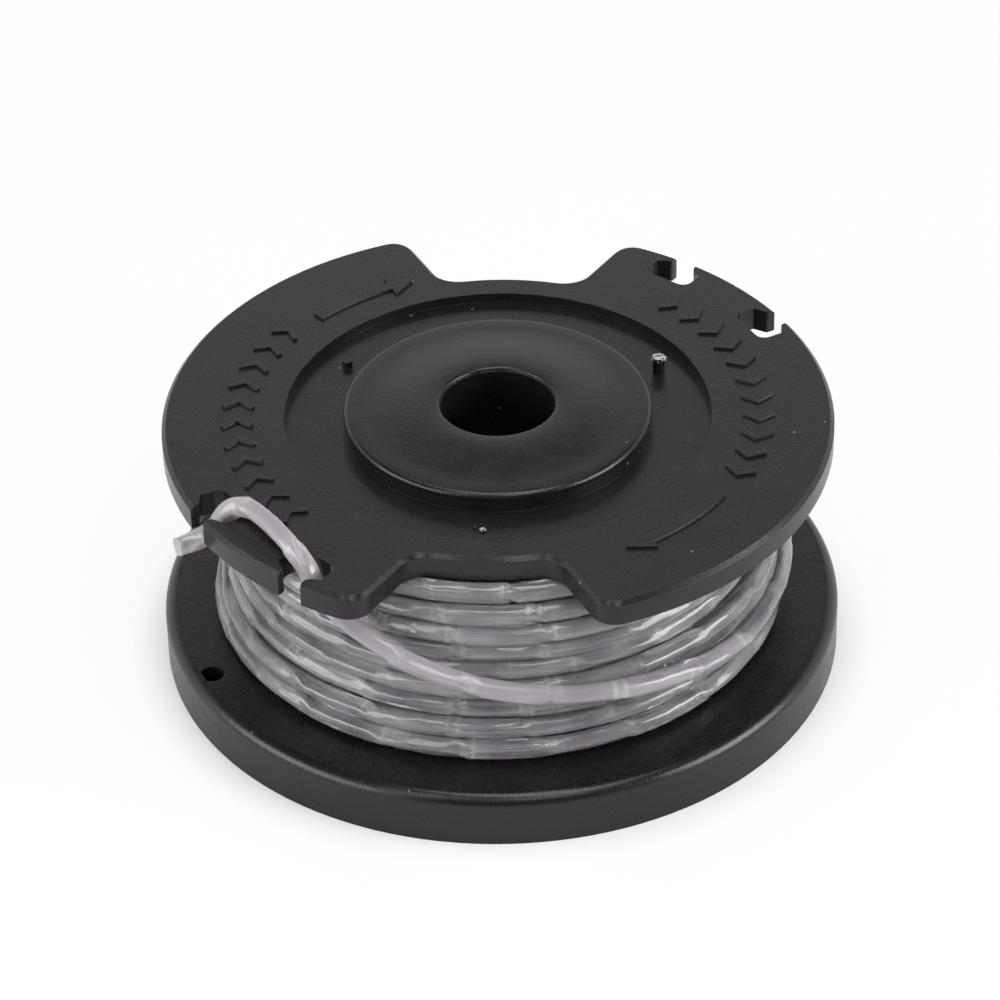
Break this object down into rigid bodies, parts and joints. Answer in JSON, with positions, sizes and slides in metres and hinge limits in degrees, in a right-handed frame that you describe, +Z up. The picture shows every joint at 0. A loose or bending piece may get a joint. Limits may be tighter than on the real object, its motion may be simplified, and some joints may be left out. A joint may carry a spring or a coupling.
{
  "type": "trimmer line spool",
  "caption": "Round black plastic spool for a grass trimmer head, with a notched top flange and nylon cutting line wound on its drum.",
  "frame": {"origin": "middle of the foot, on the plane the lower flange stands on", "axes": "+Z up the drive bore towards the top flange, +X along the middle of one wing, +Y along the middle of one clearance gap"},
  "size_m": [0.0668, 0.0668, 0.0287],
  "materials": {
    "black_plastic": "satin moulded",
    "nylon_line": "translucent extruded"
  },
  "bodies": {
    "root": {"spool_body": "black_plastic", "line_winding": "nylon_line", "line_end": "nylon_line"}
  },
  "joints": []
}
